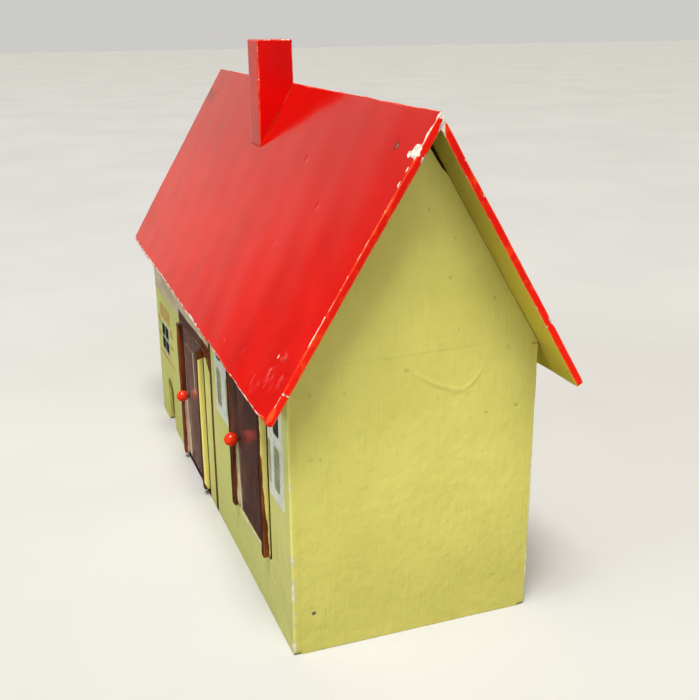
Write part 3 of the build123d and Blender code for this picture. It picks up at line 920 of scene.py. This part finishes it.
BEAD = 5.1  # radius of a knob
STAND_OFF = 6.1  # from the leaf's face to the middle of its knob
bead_profile = [(0, STAND_OFF + BEAD)]
bead_profile += [(BEAD * math.sin(a), STAND_OFF + BEAD * math.cos(a)) for a in np.linspace(0.06, 2.66, 40)]
bead_profile += [(1.9, STAND_OFF - 0.86 * BEAD), (1.52, STAND_OFF - 0.8 * BEAD), (0, STAND_OFF - 0.8 * BEAD)]
peg_profile = [(0, STAND_OFF), (1.45, STAND_OFF), (1.48, 3), (1.5, 0.9), (1.75, 0.35), (2.3, 0.06),
               (2.4, -0.1), (1.5, -0.2), (1.5, -4.3), (1.3, -4.6), (0, -4.6)]
# front, arris and two inner tones, reach of the arris tone at some heights, and where the inner tone changes
stile_paints = {
    ("near", "knob"): ((76, 50, 40), (128, 66, 34), ((214, 200, 164), (128, 94, 82)),
                       ((40, 3.4), (54, 2.4), (62, 3.0), (94, 3.0), (108, 0.9)), (90, 100)),
    # the yellow inside the near hinge stile is paler than the wall paint: painted light on this side, which
    # faces the near end
    ("near", "hinge"): ((78, 48, 38), (150, 72, 20), ((244, 232, 132), (244, 232, 132)),
                        ((44, 3.7), (66, 3.3), (84, 1.9), (104, 0.9), (132, 0.3)), (0, 10)),
    # far door: fronts lighter than the near door's, a painted reflection as on its leaf
    ("far", "knob"): ((122, 100, 86), (146, 60, 16), ((206, 176, 156), (84, 54, 42)),
                      ((20, 2.2), (52, 2.0), (66, 3.0), (120, 2.6)), (56, 70)),
    ("far", "hinge"): ((96, 64, 50), (128, 62, 20), ((228, 214, 118), (236, 224, 122)),
                       ((6, 2.6), (14, -0.2), (123, -0.4), (126, 5.5)), (0, 10)),
}
for door in ("near", "far"):
    body = door + "_door"
    low, high = low_high(body + "_panel")
    panel_outline = outline(patch(low[0], high[0], low[2], high[2], 0.8), 2.2)
    panel = board(body + "_leaf", [panel_outline], high[1] - low[1], facade,
                  [door_browns[door], trim_brown, post_wood], 91 + len(door), body)
    stand_in(panel, body + "_panel")
    for role in ("knob", "hinge"):
        node = f"{body}_{role}_stile"
        (left, _, bottom), (right, _, top) = low_high(node)
        paint = stile_paint(node + "_paint", right, *stile_paints[door, role])
        corners = [(left, bottom, 3.7), (right, bottom, 3.7), (right, top, 1.6), (left, top, 1.6)]
        stile = board(node + "_strip", [outline(corners, 1.2)], STILE_DEPTH, facade.at(0, 0, STILE_DEPTH),
                      paint, 101 + 7 * len(node), body, edge=1.35, back_edge=0.15, hold=0.4, grid=2.2,
                      wander=0.06, swell=0.08, quarter=quarter_turn(8))
        stand_in(stile, node)
    knob = sum(low_high(body + "_knob")) / 2
    seat = facade.at(knob[0], knob[2])
    bead = turned(body + "_bead", [seat], bead_profile, [bead_red], body, segments=64, uneven=0.004)
    stand_in(bead, body + "_knob")
    peg = turned(body + "_peg", [seat], peg_profile, [trim_brown], body, segments=32)
    stand_in(peg, body + "_knob_peg")
    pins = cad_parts[body + "_pins"]
    pins.data.materials.clear()
    pins.data.materials.append(yellow_nail)


# ---------------------------------------------------------------- painted windows, bands and lines

frame_blue = hand_paint("window_blue_white", (234, 235, 220), (202, 208, 196), gloss=0.35, size=6)
pane_olive = hand_paint("window_pane_olive", (176, 172, 134), (146, 142, 108), gloss=0.3, size=12,
                        stretch=(1, 1, 2))
pane_shade = hand_paint("window_pane_shade", (70, 68, 52), (30, 30, 24), gloss=0.3, size=8)
pane_green = hand_paint("window_pane_green", (44, 56, 38), (26, 34, 24), gloss=0.3, size=6)
sash_grey = hand_paint("window_sash_grey", (190, 196, 168), (166, 172, 148), gloss=0.4, size=5)
ochre = hand_paint("ochre_paint", (206, 178, 108), (182, 148, 82), gloss=0.45, size=6,
                   patches=(210, 190, 118))
eave_grey = hand_paint("eave_band_grey", (222, 206, 172), (192, 174, 142), gloss=0.45, size=14,
                       stretch=(3, 1, 1))
lintel_brown = hand_paint("lintel_brown", (128, 92, 80), (98, 64, 56), gloss=0.3, size=10, stretch=(3, 1, 1))
line_brown = hand_paint("line_brown", (116, 70, 36), (84, 48, 26), gloss=0.35, size=6, stretch=(1, 1, 4))
cream_line = hand_paint("cream_line", (214, 206, 176), (190, 176, 142), gloss=0.4, size=5,
                        patches=(150, 118, 92))
dim_line = hand_paint("dim_line", (168, 142, 124), (120, 92, 80), gloss=0.3, size=6)
orange_dab = hand_paint("orange_brown", (140, 72, 30), (92, 44, 22), gloss=0.25, size=5)


def film(name, corners, paint, seed, height, slot="brown_paint", body="house", grid=4.0, wander=0.35):
    """A thick film of paint on the front face, its outline drawn by hand."""
    piece = board(name, [outline(corners, 1.4)], height + 0.15, facade.at(0, 0, height), paint, seed, body,
                  edge=height * 0.9, back_edge=0.05, hold=0.25, grid=grid, wander=wander,
                  quarter=quarter_turn(4))
    return piece


# far window: four dark panes, a pale sash, an ochre head, shutters dabbed on and a sill
film("far_window_sash", patch(-207, -168, 73.5, 104.5), sash_grey, 201, 0.12, "yellow_paint")
for k, (left, bottom) in enumerate(((-204, 76.5), (-186.5, 76.5), (-204, 90.3), (-186.5, 90.3))):
    film(f"far_window_pane_{k}", patch(left, left + 15, bottom, bottom + 11.4, 2.0), pane_green, 210 + k,
         0.22)
film("far_window_head", patch(-211, -160, 107.5, 122, 3), ochre, 221, 0.14, "yellow_paint", wander=0.6)
for k, box in enumerate(((-163, -149, 98, 107), (-163, -150, 85, 90.5), (-224, -211, 98, 107),
                         (-223, -211, 84, 90))):
    film(f"far_window_dab_{k}", patch(*box, 2.2), ochre, 231 + k, 0.14, "yellow_paint", wander=0.6)
film("far_window_sill", patch(-222, -146, 67.5, 71.8), ochre, 241, 0.25, "yellow_paint")

# bands over the far door and the upright line beside it
film("eave_band", patch(-229.4, 13, 132.6, 158, 1.0), eave_grey, 251, 0.12, "yellow_paint", wander=0.5)
film("far_door_lintel", patch(-108.5, 13.8, 132.3, 141, 0.8), lintel_brown, 261, 0.24)
film("frame_line", patch(14, 20.6, 0.4, 186), line_brown, 271, 0.3, wander=0.4)
film("lintel_cap", [(-7.6, 126, 1.5), (2, 129.5, 3), (13.8, 120, 1.5), (13.8, 142, 1.5), (-12, 142, 1.5),
                    (-12, 133, 1.5), (-7.6, 133, 1)], orange_dab, 281, 0.34, wander=0.5)
film("far_door_left_line", patch(-107.5, -102.4, 0.4, 133, 1.0), lintel_brown, 291, 0.2)

# middle and near window: two rows of panes on a blue-white frame
for name, left, right, columns, seed in (("middle_window", 33.5, 89.2, ((41, 54.6), (70, 83)), 301),
                                         ("near_window", 184.6, 217.5, ((185.4, 190.9), (198, 210.4)), 331)):
    film(name + "_frame", patch(left, right, 96.8, 171, 2.0), frame_blue, seed, 0.2, "yellow_paint", grid=5)
    for row, (bottom, top, paint) in enumerate(((105, 135.5, pane_olive), (143, 164, pane_shade))):
        for column, (start, end) in enumerate(columns):
            film(f"{name}_pane_{row}_{column}", patch(start, end, bottom, top, 3.2), paint,
                 seed + 3 * row + column + 1, 0.3, wander=0.3, grid=3)

# outlines and dabs round the doors, on the leaves from their lower left corner
film("near_sill_line", patch(near_left + 9, near_right - 12, near_bottom - 3.4, near_bottom - 0.7, 1.0),
     cream_line, 351, 0.14, "yellow_paint", wander=0.4)
for name, door, corners, paint, seed, height, wander, grid in (
        ("near_door_margin", "near_door",
         ((8.3, 0.8, 0.6), (14, 0.8, 1), (12.4, 22, 2), (11, 42, 2), (8.9, 55, 0.3), (8.3, 55, 0.2)),
         cream_line, 361, 0.12, 0.4, 2.5),
        ("far_door_margin", "far_door",
         ((8.3, 0.8, 0.6), (16, 0.8, 1), (14.5, 30, 2), (10.5, 54, 1), (8.3, 54, 0.3)),
         cream_line, 371, 0.12, 0.5, 2.5),
        ("far_door_outline_0", "far_door",
         ((10.5, 58, 0.5), (12.8, 58, 0.5), (10.6, 110, 0.5), (8.7, 110, 0.5)), dim_line, 381, 0.1, 0.3, 2),
        ("far_door_outline_1", "far_door",
         ((8.7, 111.2, 0.5), (8.7, 109.8, 0.5), (45, 109.2, 0.5), (45, 111, 0.5)), dim_line, 382, 0.1, 0.3,
         2),
        ("far_door_outline_2", "far_door",
         ((45.2, 111, 0.5), (46.4, 74, 0.5), (48.6, 74, 0.5), (48, 110, 0.5)), cream_line, 383, 0.1, 0.3, 2)):
    left, _, bottom = low_high(door + "_panel")[0]
    film(name, [(left + u, bottom + v, cut) for u, v, cut in corners], paint, seed, height, body=door,
         wander=wander, grid=grid)


# ---------------------------------------------------------------- camera, light, floor

AZIMUTH, ELEVATION, ROLL = map(math.radians, (69.76, 18.7, -0.456))
CAMERA_PLACE = (0.7494, -0.2360, 0.3905)
LENS = 50.94


def add_object(name, data):
    made = bpy.data.objects.new(name, data)
    bpy.context.scene.collection.objects.link(made)
    return made


forward = Vector((-math.sin(AZIMUTH) * math.cos(ELEVATION), math.cos(AZIMUTH) * math.cos(ELEVATION),
                  -math.sin(ELEVATION)))
right = Vector((math.cos(AZIMUTH), math.sin(AZIMUTH), 0))
up = right.cross(forward)
right, up = (math.cos(ROLL) * right + math.sin(ROLL) * up, -math.sin(ROLL) * right + math.cos(ROLL) * up)
camera_data = bpy.data.cameras.new("camera")
camera_data.sensor_fit = "HORIZONTAL"
camera_data.sensor_width = 36.0
camera_data.lens = LENS
camera_data.clip_start = 0.02
camera_data.clip_end = 60
camera = add_object("camera", camera_data)
camera.matrix_world = Matrix.Translation(CAMERA_PLACE) @ Matrix((right, up, -forward)).transposed().to_4x4()
bpy.context.scene.camera = camera


def light(name, kind, energy, colour, way, place=(0, 0, 0), glossy=True, **settings):
    """A light that shines along way. settings go to its data."""
    data = bpy.data.lights.new(name, kind)
    data.energy = energy
    data.color = colour
    for key, value in settings.items():
        setattr(data, key, value)
    lamp = add_object(name, data)
    lamp.location = place
    lamp.rotation_mode = "QUATERNION"
    lamp.rotation_quaternion = Vector(way).to_track_quat("-Z", "Y")
    lamp.visible_camera = False
    lamp.visible_glossy = glossy


for name, power, colour, size, place, aim, glossy in (
        ("key", 6.5, (1, 0.98, 0.95), 0.8, (0.68, -0.27, 1.45), (0.1, -0.02, 0.2), True),
        ("front_fill", 250, (0.9, 0.98, 1.02), 4.8, (0.4, -6.8, 3.0), (0, 0, 0.15), False),
        ("near_fill", 69, (1, 1, 1), 4.8, (6.8, 0.6, 2.4), (0.2, 0, 0.15), False)):
    light(name, "AREA", power, colour, Vector(aim) - Vector(place), place, glossy, shape="DISK", size=size)
light("overhead", "SUN", 4.1, (1, 0.98, 0.95), (-1, 0.55, -3.3), angle=math.radians(25))


def heading(angle, rise):
    """Unit direction: angle in degrees from -X towards -Y, rise in degrees above level."""
    angle, rise = math.radians(angle), math.radians(rise)
    return Vector((-math.cos(angle) * math.cos(rise), -math.sin(angle) * math.cos(rise), math.sin(rise)))


# The surroundings: a pale wall beyond the far end, ending at an upright edge, and a dark room elsewhere.
# The camera itself sees a plain pale backdrop.
world = bpy.data.worlds.new("studio")
world.use_nodes = True
bpy.context.scene.world = world
studio = Nodes(world.node_tree)
studio.tree.nodes.clear()
way = studio.add("ShaderNodeTexCoord", output="Generated")
way_x, _, way_z = studio.split(way)
past_edge = studio.dot(way, heading(18.6, 17.0).cross(heading(21.0, 3.0)).normalized())
wall_light = studio.share(past_edge, -0.2, 0.0, 0.46, 0.32) * studio.share(past_edge, -0.045, 0.03, 1, 0)
wall_light = wall_light * studio.share(way_x, -0.3, 0.3, 1, 0) * studio.share(way_z, -0.2, -0.12, 0, 1)
glow = wall_light.math("MAXIMUM", studio.share(way_z, -0.1, 0.5, 0.02, 0.1))
room_light = studio.add("ShaderNodeBackground", ((1.0, 0.94, 0.8, 1), glow))
backdrop = studio.add("ShaderNodeBackground", (rgb((204, 203, 200)), 1.0))
seen = studio.add("ShaderNodeLightPath", output="Is Camera Ray")
chosen = studio.add("ShaderNodeMixShader", (seen, room_light, backdrop))
studio.put(studio.tree.nodes.new("ShaderNodeOutputWorld").inputs["Surface"], chosen)
bpy.context.scene.view_settings.view_transform = "Standard"

FLOOR_REACH = 12.0
floor_paint = Paint("floor_pale")
floor_tone = floor_paint.noise(300, 3).above(-0.8, 0.8)
floor_paint.colour = floor_paint.mix(floor_tone, (180, 179, 176), (186, 185, 182))
floor_paint.finish(0.8, Specular_IOR_Level=0.1)
floor_mesh = bpy.data.meshes.new("floor")
floor_corners = ((-1, -1), (1, -1), (1, 1), (-1, 1))
floor_mesh.from_pydata([(x * FLOOR_REACH, y * FLOOR_REACH, 0) for x, y in floor_corners], [], [(0, 1, 2, 3)])
floor_mesh.materials.append(floor_paint.material)
floor = add_object("floor", floor_mesh)
floor.visible_glossy = False
